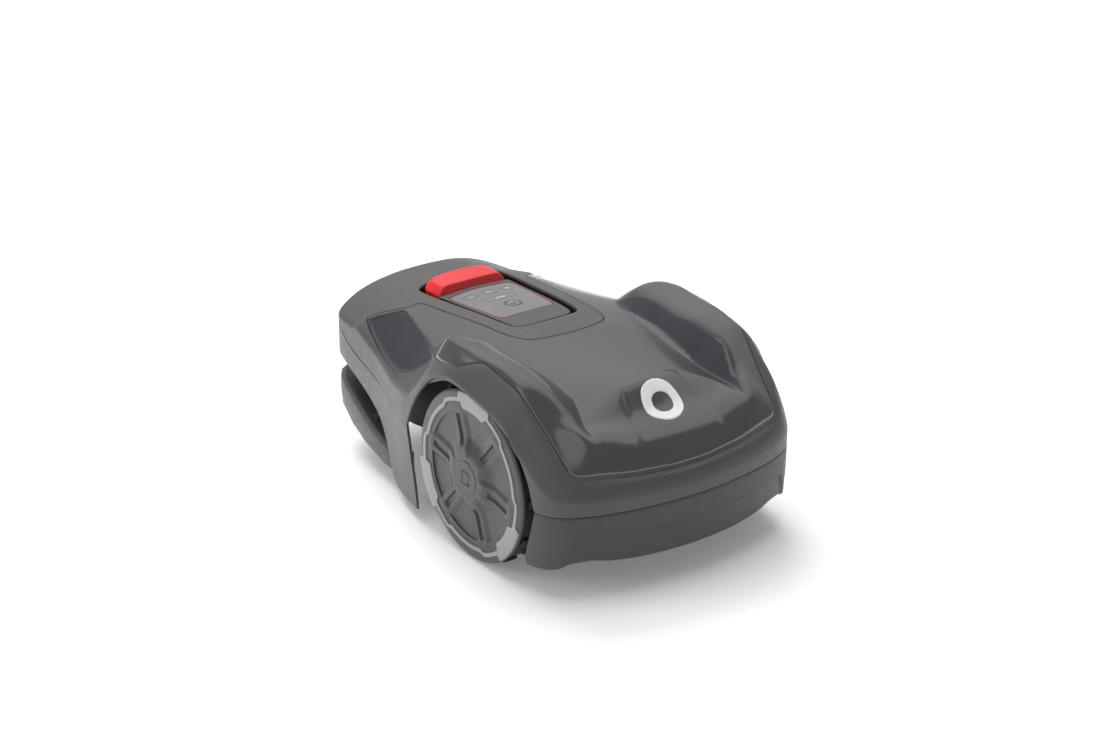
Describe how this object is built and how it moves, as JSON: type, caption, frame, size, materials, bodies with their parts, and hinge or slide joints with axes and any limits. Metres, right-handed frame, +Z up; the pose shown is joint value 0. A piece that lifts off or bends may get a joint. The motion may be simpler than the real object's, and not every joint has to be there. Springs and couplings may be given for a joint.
{
  "type": "robotic lawn mower",
  "caption": "Low four-point robotic lawn mower: floating dark body over a wheeled chassis, raised wheel fenders, red stop bar, keypad, free-swinging blade disc and rear caster.",
  "frame": {"origin": "on the ground, under the middle of the overall length, on the centre plane", "axes": "+Z up; -Y towards the bumper end with the badge, +Y towards the stop button and the carrying handle; +X across, wheel axes along X"},
  "size_m": [0.382, 0.585, 0.2482],
  "materials": {
    "shell_plastic": "fine spark texture, satin",
    "cover_gloss": "polished",
    "chassis_plastic": "moulded satin",
    "inner_plastic": "moulded satin",
    "stop_red": "satin",
    "key_black": "soft matt",
    "panel_gloss": "polished",
    "badge_white": "satin",
    "tyre_rubber": "matt",
    "rim_grey": "satin",
    "hub_dark": "satin",
    "seal_rubber": "matt",
    "steel": "machined",
    "gear_nylon": "natural nylon",
    "motor_case": "zinc plated",
    "circuit_board": "solder mask",
    "battery_wrap": "shrink film",
    "cable_sleeve": "woven sleeve",
    "contact_brass": "plated",
    "screw_steel": "zinc plated",
    "caster_tread": "matt"
  },
  "bodies": {
    "chassis": {"chassis_lower": "chassis_plastic", "chassis_upper": "chassis_plastic", "chassis_seal": "seal_rubber", "chassis_screws": "screw_steel", "battery_pack": "battery_wrap", "battery_hatch": "chassis_plastic", "main_board": "circuit_board", "loop_sensors": "circuit_board", "charging_contacts": "contact_brass", "wiring_harness": "cable_sleeve", "console_housing": "shell_plastic", "key_panel": "panel_gloss", "display_board": "circuit_board", "cutter_tower": "inner_plastic", "gearbox_left": "inner_plastic", "gearbox_right": "inner_plastic", "drive_motor_left": "motor_case", "drive_motor_right": "motor_case", "wheel_bearings": "steel", "float_posts": "seal_rubber"},
    "shell": {"body_shell": "shell_plastic", "top_cover": "cover_gloss", "front_bumper": "shell_plastic", "rear_skirt": "shell_plastic", "badge": "badge_white"},
    "stop_button": {"stop_button": "stop_red"},
    "cutter_lift": {"cutter_carriage": "inner_plastic", "cutting_motor": "motor_case"},
    "height_dial": {"height_dial": "chassis_plastic"},
    "disc": {"cutting_disc": "inner_plastic", "blade_screws": "screw_steel", "disc_bolt": "screw_steel"},
    "skid": {"skid_plate": "chassis_plastic"},
    "caster": {"caster_fork": "chassis_plastic", "caster_axle": "steel"},
    "caster_wheel": {"caster_wheel": "caster_tread"},
    "key_mode": {"key_mode": "key_black"},
    "key_park": {"key_park": "key_black"},
    "key_light": {"key_light": "key_black"},
    "key_start": {"key_start": "key_black"},
    "key_power": {"key_power": "key_black"},
    "wheel_left": {"tyre_left": "tyre_rubber", "wheel_rim_left": "inner_plastic", "wheel_ring_left": "rim_grey", "hub_cap_left": "hub_dark", "wheel_axle_left": "steel", "drive_gear_left": "gear_nylon"},
    "pinion_left": {"drive_pinion_left": "steel"},
    "wheel_right": {"tyre_right": "tyre_rubber", "wheel_rim_right": "inner_plastic", "wheel_ring_right": "rim_grey", "hub_cap_right": "hub_dark", "wheel_axle_right": "steel", "drive_gear_right": "gear_nylon"},
    "pinion_right": {"drive_pinion_right": "steel"},
    "blade_1": {"blade_1": "steel"},
    "blade_2": {"blade_2": "steel"},
    "blade_3": {"blade_3": "steel"}
  },
  "joints": [
    {"name": "body_lift", "type": "slide", "parent": "chassis", "child": "shell", "axis": [0, 0, 1], "range_m": [0, 0.006], "stiffness_N_per_m": 800},
    {"name": "stop_press", "type": "slide", "parent": "chassis", "child": "stop_button", "axis": [0, 0, -1], "range_m": [0, 0.004], "stiffness_N_per_m": 600},
    {"name": "cutting_height", "type": "slide", "parent": "chassis", "child": "cutter_lift", "axis": [0, 0, 1], "range_m": [0, 0.03]},
    {"name": "height_dial_turn", "type": "hinge", "parent": "chassis", "child": "height_dial", "pos_m": [0, -0.0795, 0.18], "axis": [0, 0, 1], "range_deg": [0, 540]},
    {"name": "disc_spin", "type": "hinge", "parent": "cutter_lift", "child": "disc", "pos_m": [0, -0.0795, 0.06], "axis": [0, 0, 1], "continuous": true},
    {"name": "skid_spin", "type": "hinge", "parent": "disc", "child": "skid", "pos_m": [0, -0.0795, 0.019], "axis": [0, 0, 1], "continuous": true},
    {"name": "caster_swivel", "type": "hinge", "parent": "chassis", "child": "caster", "pos_m": [0, 0.1885, 0.072], "axis": [0, 0, 1], "continuous": true},
    {"name": "caster_roll", "type": "hinge", "parent": "caster", "child": "caster_wheel", "pos_m": [0, 0.2045, 0.028], "axis": [1, 0, 0], "continuous": true},
    {"name": "key_mode_press", "type": "slide", "parent": "chassis", "child": "key_mode", "axis": [0, 0, -1], "range_m": [0, 0.0006], "stiffness_N_per_m": 1500},
    {"name": "key_park_press", "type": "slide", "parent": "chassis", "child": "key_park", "axis": [0, 0, -1], "range_m": [0, 0.0006], "stiffness_N_per_m": 1500},
    {"name": "key_light_press", "type": "slide", "parent": "chassis", "child": "key_light", "axis": [0, 0, -1], "range_m": [0, 0.0006], "stiffness_N_per_m": 1500},
    {"name": "key_start_press", "type": "slide", "parent": "chassis", "child": "key_start", "axis": [0, 0, -1], "range_m": [0, 0.0006], "stiffness_N_per_m": 1500},
    {"name": "key_power_press", "type": "slide", "parent": "chassis", "child": "key_power", "axis": [0, 0, -1], "range_m": [0, 0.0006], "stiffness_N_per_m": 1500},
    {"name": "wheel_left_roll", "type": "hinge", "parent": "chassis", "child": "wheel_left", "pos_m": [-0.16, -0.1025, 0.106], "axis": [1, 0, 0], "continuous": true},
    {"name": "pinion_left_turn", "type": "hinge", "parent": "chassis", "child": "pinion_left", "pos_m": [-0.106, -0.0605, 0.106], "axis": [1, 0, 0], "continuous": true},
    {"name": "wheel_right_roll", "type": "hinge", "parent": "chassis", "child": "wheel_right", "pos_m": [0.16, -0.1025, 0.106], "axis": [1, 0, 0], "continuous": true},
    {"name": "pinion_right_turn", "type": "hinge", "parent": "chassis", "child": "pinion_right", "pos_m": [0.106, -0.0605, 0.106], "axis": [1, 0, 0], "continuous": true},
    {"name": "blade_1_swing", "type": "hinge", "parent": "disc", "child": "blade_1", "pos_m": [0, -0.1595, 0.0281], "axis": [0, 0, 1], "continuous": true},
    {"name": "blade_2_swing", "type": "hinge", "parent": "disc", "child": "blade_2", "pos_m": [0.06928, -0.0395, 0.0281], "axis": [0, 0, 1], "continuous": true},
    {"name": "blade_3_swing", "type": "hinge", "parent": "disc", "child": "blade_3", "pos_m": [-0.06928, -0.0395, 0.0281], "axis": [0, 0, 1], "continuous": true}
  ],
  "couplings": [
    {"joint": "height_dial_turn", "follows": "cutting_height", "rad_per_m": 314},
    {"joint": "pinion_left_turn", "follows": "wheel_left_roll", "ratio": -3},
    {"joint": "pinion_right_turn", "follows": "wheel_right_roll", "ratio": -3}
  ]
}
